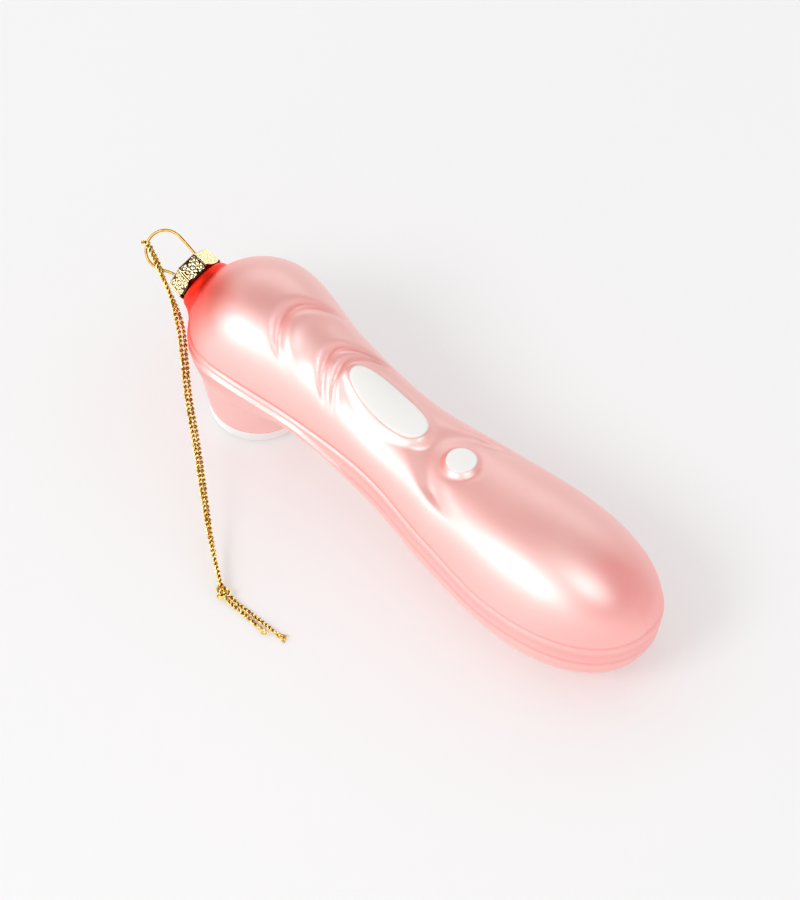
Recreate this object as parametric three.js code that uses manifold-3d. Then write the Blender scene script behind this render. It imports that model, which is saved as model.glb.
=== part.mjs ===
// Christmas bauble of blown glass, moulded as a small handheld appliance: a round head on a short
// nozzle, a slim waist and a bulb grip. A stamped crown cap, a sprung wire hanger and a gold cord
// loop are at the head. The bauble stands on its nozzle rim and on the bottom of the bulb.
// Millimetres, +Z up, +X from the head to the bulb, symmetric about y = 0.
import * as THREE from 'three';
import { mergeVertices } from 'three/addons/utils/BufferGeometryUtils.js';
import Module from 'manifold-3d';

const wasm = await Module();
wasm.setup();

// Glass body, from the head's axis at x = 0 to the bulb's axis at x = SPINE
const WALL = 1.0;
const SPINE = 80;
const NOSE_REACH = 15.75;
const TAIL_REACH = 29;
const HEAD_HALF_WIDTH = 15.75;
const SHOULDER_HALF_WIDTH = 12.3;
const WAIST_HALF_WIDTH = 11.5;
const HIP_HALF_WIDTH = 14.6;
const BULB_HALF_WIDTH = 16.6;
const HEAD_CROWN = 42.5;
const SHOULDER_CROWN = 38.5;
const WAIST_CROWN = 32.6;
const HIP_CROWN = 32.2;
const BULB_CROWN = 33.2;
const HEAD_KEEL = 11;
const SHOULDER_KEEL = 15.5;
const WAIST_KEEL = 7.2;
const HIP_KEEL = 1.6;
const HEAD_SEAM = 27.3;
const SHOULDER_SEAM = 23.8;
const WAIST_SEAM = 22.6;
const HIP_SEAM = 20.4;
const BULB_SEAM = 19.2;
const TAIL_SEAM = 20.4;
const TOP_FULLNESS = 2.1;
const BOTTOM_FULLNESS = 2.5;
const TAIL_FULLNESS = 2.2;

// Seam band round the two halves of the mould: two grooves, close together round the head and
// wide apart along the grip, each with a lip beside it, and a ledge under the lower one
const GROOVE_DEPTH = 0.35;
const LIP_PROUD = 0.45;
const LIP_OFFSET = 0.8;
const RECESS_DEPTH = 0.5;
const LEDGE_PROUD = 0.75;
const LOWER_BLEND = 5.5;
const HEAD_BAND_REACH = 2.6;
const HEAD_GROOVES = [0.05, 1.85];
const HANDLE_GROOVES = [-4.5, 1.2];
const TAIL_GROOVES = [-5.3, 0.4];
const PARTING_START = 20;
const PARTING_END = 40;
const DROP_START = 60;

// Nozzle under the head, open ring to stand on with a dished end
const RIM_RADIUS = 10.75;
const RIM_ROUNDING = 1.0;
const RIM_DISH_RADIUS = 7.6;
const RIM_DISH_DEPTH = 1.6;
const PAINT_HEIGHT = 3.9;
const PAINT_RADIUS = 11.1;
const ROOT_HEIGHT = 16;
const ROOT_RADIUS = 13.4;
const NOZZLE_FORWARD = 2.1;

// Oval pad and round button on the crown
const PAD_CENTRE = 36.7;
const PAD_LENGTH = 20.4;
const PAD_WIDTH = 8.1;
const PAD_PROUD = 0.9;
const PAD_TAPER = 0.1;
const PAD_FULLNESS = 2.4;
const BUTTON_CENTRE = 57.3;
const BUTTON_DIAMETER = 6.5;
const BUTTON_PROUD = 1.1;

// Horseshoe creases between head and pad, each a shallow round groove across the crown
const CREASE_RADIUS = 0.8;
const CREASE_DEPTH = 0.5;
const HEAD_CREASE = 8.3;
const STEP_CREASE = 20.9;
const PAD_CREASE = 24;
const CREASE_REACH = 8;
const CREASE_CURL = 0.07;

// Neck, tilted up from the head: a wide shoulder, then a stub with the cap pushed over it
const NECK_PITCH = THREE.MathUtils.degToRad(16.7);
const NECK_BASE_HEIGHT = 23.2;
const SHOULDER_DISTANCE = 18.4;
const SHOULDER_RADIUS = 6.1;
const SHOULDER_FLARE = 1.5;
const NECK_ROOT_DISTANCE = 13.6;
const STUB_LENGTH = 4.4;
const NECK_BORE_DEPTH = 12;

// Crown cap, stamped from thin sheet, seven petals round a slightly domed top
const CAP_SHEET = 0.35;
const CAP_GAP = 0.3;
const CAP_HEIGHT = 4.4;
const CAP_TOP_RADIUS = 5.5;
const CAP_HEM_RADIUS = 6.2;
const CAP_DOME = 0.5;
const PETALS = 7;
const SLIT_WIDTH = 0.45;
const SLIT_MOUTH = 1.3;
const PETAL_TURN = THREE.MathUtils.degToRad(14);

// Wire hanger: a round loop over the cap and two sprung legs through it into the neck
const WIRE_DIAMETER = 0.6;
const LEG_SPACING = 6.4;
const LEG_LENGTH = 12;
const LOOP_RADIUS = 4.25;
const LOOP_HEIGHT = 6.15;
const LOOP_LEAN = -0.8;
const LOOP_START = THREE.MathUtils.degToRad(-30);
const LOOP_END = THREE.MathUtils.degToRad(200);
const HANGER_TURN = THREE.MathUtils.degToRad(33);
const HOLE_CLEARANCE = 0.3;
const BORE_CLEARANCE = 0.2;

// Cord: one gold cord through the wire loop, its ends tied in an overhand knot on the surface
const CORD_DIAMETER = 1.0;
const CORD_GAP = 0.3;
const CORD_FIRST_STEP = 0.25;
const CORD_WRAP_ANGLE = THREE.MathUtils.degToRad(66);
const CORD_BESIDE_RING = 1.2;
const CORD_UNDER_RING = [[-3.4, 30.6], [-4.4, 27.9]];
const KNOT_RADIUS = 1.65;
const KNOT_FLATNESS = 0.9;
const KNOT_PLACE = [28.3, -42.3, 1.6];

// How finely the curves are cut into flats
const SPINE_STEPS = 26;
const CAP_END_STEPS = 12;
const DOME_ROWS = 8;
const KEEL_ROWS = 6;
const RING_SIDES = 40;
const WIRE_SIDES = 8;
const WIRE_STEPS = 56;
const STRAND_STEPS = 34;

const material = (color, roughness, metalness) =>
  new THREE.MeshStandardMaterial({ color, roughness, metalness });

function solid(geometry) {
  const bare = geometry.clone();
  bare.deleteAttribute('normal');
  bare.deleteAttribute('uv');
  const merged = mergeVertices(bare, 1e-4);
  const index = Array.from(merged.index.array);
  const kept = [];
  for (let i = 0; i < index.length; i += 3) {
    const [a, b, c] = index.slice(i, i + 3);
    if (a !== b && b !== c && c !== a) kept.push(a, b, c);
  }
  const mesh = new wasm.Mesh({
    numProp: 3,
    vertProperties: new Float32Array(merged.attributes.position.array),
    triVerts: new Uint32Array(kept),
  });
  return new wasm.Manifold(mesh);
}

function geometryOf(manifold) {
  const mesh = manifold.getMesh();
  const geometry = new THREE.BufferGeometry();
  geometry.setAttribute('position', new THREE.BufferAttribute(mesh.vertProperties, 3));
  geometry.setIndex(new THREE.BufferAttribute(mesh.triVerts, 1));
  geometry.computeVertexNormals();
  return geometry;
}

// A smooth line through five sizes at equal steps along the spine, level at both ends
function line(sizes) {
  const last = sizes.length - 1;
  const slope = (i) => (i === 0 || i === last ? 0 : (sizes[i + 1] - sizes[i - 1]) / 2);
  return (x) => {
    const at = THREE.MathUtils.clamp(x / SPINE, 0, 1) * last;
    const i = Math.min(Math.floor(at), last - 1);
    const t = at - i;
    const rise = t * t * (3 - 2 * t);
    return sizes[i] + (sizes[i + 1] - sizes[i]) * rise
      + slope(i) * t * (1 - t) ** 2 - slope(i + 1) * t * t * (1 - t);
  };
}

const halfWidth = line([
  HEAD_HALF_WIDTH, SHOULDER_HALF_WIDTH, WAIST_HALF_WIDTH, HIP_HALF_WIDTH, BULB_HALF_WIDTH,
]);
const crownHeight = line([HEAD_CROWN, SHOULDER_CROWN, WAIST_CROWN, HIP_CROWN, BULB_CROWN]);
const keelHeight = line([HEAD_KEEL, SHOULDER_KEEL, WAIST_KEEL, HIP_KEEL, 0]);
const seamAlong = line([HEAD_SEAM, SHOULDER_SEAM, WAIST_SEAM, HIP_SEAM, BULB_SEAM]);
const seamHeight = (x) => seamAlong(x)
  + (TAIL_SEAM - BULB_SEAM) * THREE.MathUtils.clamp((x - SPINE) / TAIL_REACH, 0, 1) ** 2;

const power = (value, fullness) => Math.sign(value) * Math.abs(value) ** (2 / fullness);

// The columns of the skin: both sides of the spine, and a fan round the nose and the tail
function outlineColumns(spineSteps, endSteps) {
  const columns = [];
  const side = (from, to, sign) => {
    for (let i = 0; i < spineSteps; i++) {
      columns.push({ spine: THREE.MathUtils.lerp(from, to, i / spineSteps), across: sign, along: 0 });
    }
  };
  const end = (spine, sign) => {
    for (let i = 0; i < endSteps; i++) {
      const angle = (i / endSteps) * Math.PI;
      columns.push({
        spine,
        across: sign * Math.cos(angle),
        along: sign * Math.sin(angle),
      });
    }
  };
  side(0, SPINE, 1);
  end(SPINE, 1);
  side(SPINE, 0, -1);
  end(0, -1);
  return columns;
}

// Heights over the seam of the lower (0) and the upper (1) groove at a place along the spine
function grooveHeight(which, x) {
  const parting = THREE.MathUtils.smoothstep(x, PARTING_START, PARTING_END);
  const dropping = THREE.MathUtils.smoothstep(x, DROP_START, SPINE);
  const ahead = THREE.MathUtils.lerp(HEAD_GROOVES[which], HANDLE_GROOVES[which], parting);
  return THREE.MathUtils.lerp(ahead, TAIL_GROOVES[which], dropping);
}

// The band's profile at a place along the spine: [height over the seam, how far it stands out]
function bandProfile(x) {
  const [lower, upper] = [grooveHeight(0, x), grooveHeight(1, x)];
  const between = upper - lower - 2 * LIP_OFFSET;
  const recess = RECESS_DEPTH * Math.min(between / (HANDLE_GROOVES[1] - HANDLE_GROOVES[0]), 1);
  return [
    [lower - LOWER_BLEND, 0],
    [lower - LIP_OFFSET, LEDGE_PROUD],
    [lower, -GROOVE_DEPTH],
    [lower + LIP_OFFSET, LIP_PROUD],
    [(lower + upper) / 2, LIP_PROUD - recess],
    [upper - LIP_OFFSET, LIP_PROUD],
    [upper, -GROOVE_DEPTH],
    [upper + LIP_OFFSET, 0],
  ];
}

function bandProud(height, x) {
  const profile = bandProfile(x);
  for (let i = 1; i < profile.length; i++) {
    const [low, high] = [profile[i - 1], profile[i]];
    if (height >= low[0] && height <= high[0]) {
      return THREE.MathUtils.mapLinear(height, low[0], high[0], low[1], high[1]);
    }
  }
  return 0;
}

// Angles of the rows from keel to crown, with rows on the seam band's own heights
function rowAngles(banded, column, inset) {
  const rise = crownHeight(column.spine) - inset - seamAlong(column.spine);
  const drop = seamAlong(column.spine) - keelHeight(column.spine) - inset;
  const at = (height) => (height > 0
    ? Math.asin((height / rise) ** (TOP_FULLNESS / 2))
    : -Math.asin((-height / drop) ** (BOTTOM_FULLNESS / 2)));
  const band = banded ? bandProfile(column.spine).map(([height]) => at(height)) : [0];
  const lowest = band[0];
  const highest = band[band.length - 1];
  const rows = [];
  for (let i = 0; i < KEEL_ROWS; i++) {
    rows.push(THREE.MathUtils.lerp(-Math.PI / 2, lowest, i / KEEL_ROWS));
  }
  rows.push(...band.slice(0, -1));
  for (let i = 0; i <= DOME_ROWS; i++) {
    rows.push(THREE.MathUtils.lerp(highest, Math.PI / 2, i / DOME_ROWS));
  }
  return rows;
}

// A point of the skin, set in by a wall for the inside
function skinPoint(column, angle, inset, banded) {
  const fullness = angle > 0 ? TOP_FULLNESS : BOTTOM_FULLNESS;
  const out = power(Math.cos(angle), fullness);
  const reach = (column.spine > 0 ? TAIL_REACH : NOSE_REACH) - inset;
  const half = halfWidth(column.spine) - inset;
  const ends = column.spine > 0 ? TAIL_FULLNESS : 2;
  let x = column.spine + reach * power(column.along, ends) * out;
  let y = half * power(column.across, ends) * out;
  const seam = seamHeight(x);
  const rise = crownHeight(column.spine) - inset - seamAlong(column.spine);
  const drop = seamAlong(column.spine) - keelHeight(column.spine) - inset;
  const z = seam + (angle > 0 ? rise : drop) * power(Math.sin(angle), fullness);
  if (banded) {
    const proud = bandProud(z - seam, column.spine);
    const push = new THREE.Vector2(column.along / reach, column.across / half).normalize();
    x += proud * push.x;
    y += proud * push.y;
  }
  return [x, y, z];
}

function skin(inset, banded, spineSteps, endSteps) {
  const columns = outlineColumns(spineSteps, endSteps);
  const rows = rowAngles(banded, columns[0], inset).length;
  const points = [];
  for (const column of columns) {
    for (const angle of rowAngles(banded, column, inset)) {
      points.push(...skinPoint(column, angle, inset, banded));
    }
  }
  const triangles = [];
  columns.forEach((_, j) => {
    const next = (j + 1) % columns.length;
    for (let i = 0; i + 1 < rows; i++) {
      const [a, b] = [j * rows + i, next * rows + i];
      triangles.push(a, a + 1, b, b, a + 1, b + 1);
    }
  });
  const geometry = new THREE.BufferGeometry();
  geometry.setAttribute('position', new THREE.Float32BufferAttribute(points, 3));
  geometry.setIndex(triangles);
  return solid(geometry);
}

// Height of the crown's skin over a point of the plan
function crownAt(x, y) {
  const rise = crownHeight(x) - seamHeight(x);
  const share = Math.min(Math.abs(y) / halfWidth(x), 1);
  return seamHeight(x) + rise * (1 - share ** TOP_FULLNESS) ** (1 / TOP_FULLNESS);
}

// A turned solid about +Z from a profile of [radius, height] pairs, its first corner on +X
function turned(profile, sides) {
  const points = profile.map(([radius, height]) => new THREE.Vector2(radius, height));
  return new THREE.LatheGeometry(points, sides).rotateX(Math.PI / 2).rotateZ(Math.PI / 2);
}

function nozzleShape(profile) {
  const geometry = turned(profile, RING_SIDES);
  const position = geometry.attributes.position;
  for (let i = 0; i < position.count; i++) {
    const share = THREE.MathUtils.clamp(1 - position.getZ(i) / HEAD_SEAM, 0, 1);
    position.setX(i, position.getX(i) - NOZZLE_FORWARD * share);
  }
  return solid(geometry);
}

function nozzleOutside() {
  const neckIn = HEAD_HALF_WIDTH - WALL / 2;
  return nozzleShape([
    [0, RIM_DISH_DEPTH],
    [RIM_DISH_RADIUS - RIM_DISH_DEPTH, RIM_DISH_DEPTH],
    [RIM_DISH_RADIUS, 0],
    [RIM_RADIUS - RIM_ROUNDING, 0],
    [RIM_RADIUS - RIM_ROUNDING * 0.3, RIM_ROUNDING * 0.3],
    [RIM_RADIUS, RIM_ROUNDING],
    [PAINT_RADIUS, PAINT_HEIGHT],
    [ROOT_RADIUS, ROOT_HEIGHT],
    [(ROOT_RADIUS + neckIn) / 2 + WALL / 4, (ROOT_HEIGHT + HEAD_SEAM) / 2 - WALL],
    [neckIn, HEAD_SEAM - HEAD_BAND_REACH],
    [neckIn - WALL, HEAD_SEAM],
    [0, HEAD_SEAM],
  ]);
}

function nozzleInside() {
  return nozzleShape([
    [0, RIM_DISH_DEPTH + WALL],
    [RIM_DISH_RADIUS - WALL, RIM_DISH_DEPTH + WALL],
    [PAINT_RADIUS - WALL, PAINT_HEIGHT],
    [ROOT_RADIUS - WALL, ROOT_HEIGHT],
    [HEAD_HALF_WIDTH - 2 * WALL, HEAD_SEAM - HEAD_BAND_REACH],
    [0, HEAD_SEAM],
  ]);
}

// A raised oval on the crown: its top follows the skin, its side is steep with a rounded edge
function boss(centre, length, width, proud, taper, fullness) {
  const rings = [[0, 1], [0.5, 1], [0.9, 0.92], [1, 0.35], [1.05, -0.5]];
  const sides = 28;
  const points = [];
  for (const [share, rise] of rings) {
    for (let i = 0; i < sides; i++) {
      const angle = (i / sides) * 2 * Math.PI;
      const x = centre + (length / 2) * share * power(Math.cos(angle), fullness);
      const y = (width / 2) * share * power(Math.sin(angle), fullness) * (1 + taper * Math.cos(angle));
      points.push(x, y, crownAt(x, y) + proud * rise);
    }
  }
  const triangles = [];
  for (let k = 0; k + 1 < rings.length; k++) {
    for (let i = 0; i < sides; i++) {
      const next = (i + 1) % sides;
      const [a, b] = [k * sides + i, k * sides + next];
      triangles.push(a, a + sides, b, b, a + sides, b + sides);
    }
  }
  const hem = (rings.length - 1) * sides;
  const under = points.length / 3;
  points.push(centre, 0, crownAt(centre, 0) - WALL * 0.7);
  for (let i = 0; i < sides; i++) {
    triangles.push(under, hem + ((i + 1) % sides), hem + i);
  }
  const geometry = new THREE.BufferGeometry();
  geometry.setAttribute('position', new THREE.Float32BufferAttribute(points, 3));
  geometry.setIndex(triangles);
  return solid(geometry);
}

function roundSection(radius, sides) {
  const section = new THREE.Shape();
  for (let i = 0; i < sides; i++) {
    const angle = ((i + 0.5) / sides) * 2 * Math.PI;
    const [x, y] = [radius * Math.cos(angle), radius * Math.sin(angle)];
    if (i === 0) section.moveTo(x, y);
    else section.lineTo(x, y);
  }
  section.closePath();
  return section;
}

function tube(points, radius, sides, steps) {
  const path = new THREE.CatmullRomCurve3(points, false, 'centripetal');
  return new THREE.ExtrudeGeometry(roundSection(radius, sides), { steps, extrudePath: path });
}

// A horseshoe crease: a round bar laid across the crown, sunk to the crease's depth
function creaseBar(apex) {
  const count = 9;
  const points = [];
  for (let i = 0; i < count; i++) {
    const y = THREE.MathUtils.lerp(-CREASE_REACH, CREASE_REACH, i / (count - 1));
    const x = apex + CREASE_CURL * y * y;
    const fade = (Math.abs(y) / CREASE_REACH) ** 4 * CREASE_DEPTH;
    points.push(new THREE.Vector3(x, y, crownAt(x, y) + CREASE_RADIUS - CREASE_DEPTH + fade));
  }
  return solid(tube(points, CREASE_RADIUS, WIRE_SIDES, 3 * count));
}

const [xAxis, yAxis, zAxis] = [[1, 0, 0], [0, 1, 0], [0, 0, 1]].map((axis) => new THREE.Vector3(...axis));

// The neck's own frame: z along its axis out of the head, y across the wire loop
const neckAxis = new THREE.Vector3(-Math.cos(NECK_PITCH), 0, Math.sin(NECK_PITCH));
const neckUp = new THREE.Vector3(Math.sin(NECK_PITCH), 0, Math.cos(NECK_PITCH));
const acrossLoop = new THREE.Vector3(0, Math.cos(HANGER_TURN), 0)
  .addScaledVector(neckUp, Math.sin(HANGER_TURN));
const throughLoop = new THREE.Vector3().crossVectors(acrossLoop, neckAxis);
const neckFrame = new THREE.Matrix4()
  .makeBasis(throughLoop, acrossLoop, neckAxis)
  .setPosition(0, 0, NECK_BASE_HEIGHT);

const FACET = Math.cos(Math.PI / PETALS);
const STUB_RADIUS = CAP_TOP_RADIUS * FACET - CAP_SHEET - CAP_GAP;
const STUB_END = SHOULDER_DISTANCE + STUB_LENGTH;
const NECK_BORE = LEG_SPACING / 2 + WIRE_DIAMETER / 2 + BORE_CLEARANCE;
const CAP_TOP = STUB_END + CAP_GAP + CAP_SHEET;
const CAP_FOOT = CAP_TOP - CAP_HEIGHT;

function neckOutside() {
  return solid(turned([
    [0, NECK_ROOT_DISTANCE],
    [SHOULDER_RADIUS + 1.7 * SHOULDER_FLARE, NECK_ROOT_DISTANCE],
    [SHOULDER_RADIUS + SHOULDER_FLARE, SHOULDER_DISTANCE - 2.1 * SHOULDER_FLARE],
    [SHOULDER_RADIUS + 0.4 * SHOULDER_FLARE, SHOULDER_DISTANCE - SHOULDER_FLARE],
    [SHOULDER_RADIUS, SHOULDER_DISTANCE - 0.3 * SHOULDER_FLARE],
    [(SHOULDER_RADIUS + STUB_RADIUS) / 2, SHOULDER_DISTANCE + CAP_SHEET],
    [STUB_RADIUS, SHOULDER_DISTANCE + 2 * CAP_SHEET],
    [STUB_RADIUS, STUB_END],
    [0, STUB_END],
  ], RING_SIDES).applyMatrix4(neckFrame));
}

function neckBore() {
  return solid(turned([
    [0, STUB_END - NECK_BORE_DEPTH],
    [NECK_BORE, STUB_END - NECK_BORE_DEPTH],
    [NECK_BORE, STUB_END + WALL],
    [0, STUB_END + WALL],
  ], RING_SIDES).applyMatrix4(neckFrame));
}

function glassBody() {
  let glass = skin(0, true, SPINE_STEPS, CAP_END_STEPS).add(nozzleOutside()).add(neckOutside());
  glass = glass.add(boss(PAD_CENTRE, PAD_LENGTH, PAD_WIDTH, PAD_PROUD, PAD_TAPER, PAD_FULLNESS));
  glass = glass.add(boss(BUTTON_CENTRE, BUTTON_DIAMETER, BUTTON_DIAMETER, BUTTON_PROUD, 0, 2));
  for (const apex of [HEAD_CREASE, STEP_CREASE, PAD_CREASE]) glass = glass.subtract(creaseBar(apex));
  const hollow = skin(WALL, false, SPINE_STEPS / 2, CAP_END_STEPS / 2).add(nozzleInside());
  return geometryOf(glass.subtract(hollow).subtract(neckBore()));
}

// The outline of a slit between two petals, narrow at the top and rounded open at the hem
function slitOutline() {
  const outline = new THREE.Shape();
  const foot = CAP_FOOT - CAP_SHEET;
  const top = CAP_TOP - 2 * CAP_SHEET;
  outline.moveTo(-SLIT_MOUTH, foot);
  const narrow = foot + 1.2 * SLIT_MOUTH;
  outline.quadraticCurveTo(-SLIT_WIDTH / 2, foot + SLIT_MOUTH / 2, -SLIT_WIDTH / 2, narrow);
  outline.lineTo(-SLIT_WIDTH / 2, top);
  outline.lineTo(SLIT_WIDTH / 2, top);
  outline.lineTo(SLIT_WIDTH / 2, narrow);
  outline.quadraticCurveTo(SLIT_WIDTH / 2, foot + SLIT_MOUTH / 2, SLIT_MOUTH, foot);
  outline.closePath();
  return outline;
}

// The cap: a seven-sided bell with a domed top, slit between its petals, two holes for the wire
function crownCap() {
  const shell = turned([
    [0, CAP_TOP + CAP_DOME - CAP_SHEET],
    [CAP_TOP_RADIUS * 0.6, CAP_TOP + CAP_DOME * 0.75 - CAP_SHEET],
    [CAP_TOP_RADIUS - CAP_SHEET / FACET, CAP_TOP - CAP_SHEET],
    [CAP_HEM_RADIUS - CAP_SHEET / FACET, CAP_FOOT],
    [CAP_HEM_RADIUS, CAP_FOOT],
    [CAP_TOP_RADIUS, CAP_TOP - CAP_SHEET],
    [CAP_TOP_RADIUS - CAP_SHEET, CAP_TOP],
    [CAP_TOP_RADIUS * 0.6, CAP_TOP + CAP_DOME * 0.75],
    [0, CAP_TOP + CAP_DOME],
  ], PETALS).rotateZ(PETAL_TURN + Math.PI / PETALS);
  let cap = solid(shell);
  const depth = CAP_HEM_RADIUS - STUB_RADIUS + CAP_SHEET;
  const slit = new THREE.ExtrudeGeometry(slitOutline(), { depth, bevelEnabled: false, curveSegments: 4 })
    .applyMatrix4(new THREE.Matrix4().makeBasis(yAxis, zAxis, xAxis));
  for (let i = 0; i < PETALS; i++) {
    const turn = PETAL_TURN + ((i + 0.5) / PETALS) * 2 * Math.PI;
    cap = cap.subtract(solid(slit.clone().translate(STUB_RADIUS, 0, 0).rotateZ(turn)));
  }
  const hole = WIRE_DIAMETER / 2 + HOLE_CLEARANCE;
  for (const sign of [-1, 1]) {
    const punch = turned([
      [0, CAP_TOP - CAP_HEIGHT / 2],
      [hole, CAP_TOP - CAP_HEIGHT / 2],
      [hole, CAP_TOP + CAP_HEIGHT / 2],
      [0, CAP_TOP + CAP_HEIGHT / 2],
    ], 12).translate(0, (sign * LEG_SPACING) / 2, 0);
    cap = cap.subtract(solid(punch));
  }
  return geometryOf(cap).applyMatrix4(neckFrame);
}

const inNeck = (x, y, z) => new THREE.Vector3(x, y, z).applyMatrix4(neckFrame);
const loopCentre = [0, LOOP_LEAN, CAP_TOP + LOOP_HEIGHT];

// A point in the neck's frame, round the wire loop's middle and out of the loop's own plane
const onLoop = (angle, radius, out) => new THREE.Vector3(
  out,
  loopCentre[1] - radius * Math.cos(angle),
  loopCentre[2] + radius * Math.sin(angle),
);

// The wire's loop is an arc; the legs run straight down from it through the cap's holes
function wireRoute() {
  const points = [];
  const leg = (sign, heights) => heights.forEach((height) => {
    points.push(new THREE.Vector3(0, (sign * LEG_SPACING) / 2, CAP_TOP + height));
  });
  leg(-1, [-LEG_LENGTH, -LEG_LENGTH / 2, 0, CAP_DOME + WIRE_DIAMETER]);
  const arcSteps = 9;
  for (let i = 0; i <= arcSteps; i++) {
    points.push(onLoop(THREE.MathUtils.lerp(LOOP_START, LOOP_END, i / arcSteps), LOOP_RADIUS, 0));
  }
  leg(1, [CAP_DOME + WIRE_DIAMETER, 0, -LEG_LENGTH / 2, -LEG_LENGTH]);
  return points;
}

function wireHanger() {
  return tube(wireRoute(), WIRE_DIAMETER / 2, WIRE_SIDES, WIRE_STEPS).applyMatrix4(neckFrame);
}

// The cord's path round the wire, from the outer edge of the loop to one side of its plane
const cordReach = WIRE_DIAMETER / 2 + CORD_GAP + CORD_DIAMETER / 2;
function roundWire(side) {
  return [
    onLoop(CORD_WRAP_ANGLE, LOOP_RADIUS + cordReach, (side * CORD_GAP) / 2),
    onLoop(CORD_WRAP_ANGLE, LOOP_RADIUS + cordReach, side * 0.45 * cordReach),
    onLoop(CORD_WRAP_ANGLE, LOOP_RADIUS + 0.75 * cordReach, side * 0.8 * cordReach),
    onLoop(CORD_WRAP_ANGLE, LOOP_RADIUS, side * 1.05 * cordReach),
  ].map((point) => point.applyMatrix4(neckFrame));
}

// The cord beside the wire loop, on one side of its plane, where it passes from the loop to the cap
const besideRing = (side) => CORD_UNDER_RING.map(([y, z]) => inNeck(side * CORD_BESIDE_RING, y, z));

const spot = ([x, y, z]) => new THREE.Vector3(x, y, z);
const [knotX, knotY, knotZ] = KNOT_PLACE;
const knotReach = KNOT_RADIUS + CORD_GAP;

// The strand on the camera's side of the loop, from the wire down to the knot
const FRONT_STRAND = [
  ...roundWire(1),
  ...besideRing(1),
  spot([-24.3, -5.2, 28.3]),
  spot([-21.9, -6.1, 26.9]),
  spot([-18.6, -8, 24.7]),
  spot([-15.8, -9.8, 22.8]),
  spot([-10.9, -13.7, 19.6]),
  spot([-5.9, -17.9, 16.4]),
  spot([3.3, -24.6, 11.6]),
  spot([12.6, -31.7, 7.5]),
  spot([20.3, -37.2, 4.7]),
  spot([knotX - 0.68 * knotReach, knotY + 0.44 * knotReach, knotZ + 0.56 * knotReach]),
];

// The strand behind it, which shows beside the front one below the cap
const BACK_STRAND = [
  ...roundWire(-1),
  ...besideRing(-1),
  spot([-24.9, -4.5, 26.7]),
  spot([-22, -5.6, 25.6]),
  spot([-18.5, -7, 23.8]),
  spot([-15.5, -8.7, 22]),
  spot([-10.7, -12.7, 18.8]),
  spot([-5.7, -16.9, 15.6]),
  spot([3.4, -23.6, 10.8]),
  spot([12.6, -30.8, 6.6]),
  spot([19.9, -36.5, 3.6]),
  spot([knotX - 0.84 * knotReach, knotY + 0.54 * knotReach, knotZ - 0.04 * knotReach]),
];

// The two tails, which leave the knot side by side and lie on the surface
const SHORT_TAIL = [
  spot([knotX + 0.93 * knotReach, knotY - 0.3 * knotReach, 1]),
  spot([34.3, -43, 0.6]),
  spot([36.7, -43.1, 0.6]),
  spot([39.5, -43.2, 0.6]),
  spot([42.5, -43.3, 0.6]),
];
const LONG_TAIL = [
  spot([knotX + 0.93 * knotReach, knotY + 0.33 * knotReach, 1]),
  spot([32.9, -41.8, 0.6]),
  spot([35.4, -41.7, 0.6]),
  spot([38, -41.7, 0.6]),
  spot([40.9, -41.7, 0.6]),
  spot([43.3, -41.7, 0.6]),
  spot([46.3, -41.5, 0.6]),
];

// A strand's curve, with its steps close together round the wire and longer towards the knot
class StrandCurve extends THREE.CatmullRomCurve3 {
  getUtoTmapping(u, distance) {
    return super.getUtoTmapping(u * (CORD_FIRST_STEP + (1 - CORD_FIRST_STEP) * u), distance);
  }
}

function strandTube(route) {
  const extrudePath = new StrandCurve(route, false, 'centripetal');
  const section = roundSection(CORD_DIAMETER / 2, WIRE_SIDES);
  return new THREE.ExtrudeGeometry(section, { steps: STRAND_STEPS, extrudePath });
}

const tailTube = (route, steps) => tube(route, CORD_DIAMETER / 2, WIRE_SIDES, steps);

function knotBall() {
  return new THREE.SphereGeometry(KNOT_RADIUS, 12, 8)
    .scale(1, 1, KNOT_FLATNESS)
    .translate(knotX, knotY, knotZ);
}

const pinkLacquer = material(0xf2a49c, 0.35, 0.25);
const goldPlate = material(0xb8935a, 0.35, 1);
const goldWire = material(0xc9a04e, 0.3, 1);
const goldCord = material(0xd9a52e, 0.5, 0.7);

const pieces = [
  ['glass_body', glassBody(), pinkLacquer],
  ['crown_cap', crownCap(), goldPlate],
  ['wire_hanger', wireHanger(), goldWire],
  ['cord_front_strand', strandTube(FRONT_STRAND), goldCord],
  ['cord_back_strand', strandTube(BACK_STRAND), goldCord],
  ['cord_knot', knotBall(), goldCord],
  ['cord_short_tail', tailTube(SHORT_TAIL, 6), goldCord],
  ['cord_long_tail', tailTube(LONG_TAIL, 8), goldCord],
];

const group = new THREE.Group();
for (const [name, geometry, finish] of pieces) {
  const mesh = new THREE.Mesh(geometry, finish);
  mesh.name = name;
  group.add(mesh);
}

// The origin is under the middle of the bauble without its cord, on the surface it stands on
const bauble = new THREE.Box3();
for (const mesh of group.children) {
  if (!mesh.name.startsWith('cord')) bauble.expandByObject(mesh);
}
const middle = bauble.getCenter(new THREE.Vector3());
group.position.set(-middle.x, -middle.y, -bauble.min.z);

export default group;
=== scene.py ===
import math
import random
import bpy
import bmesh
from mathutils import Matrix, Vector, kdtree


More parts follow.
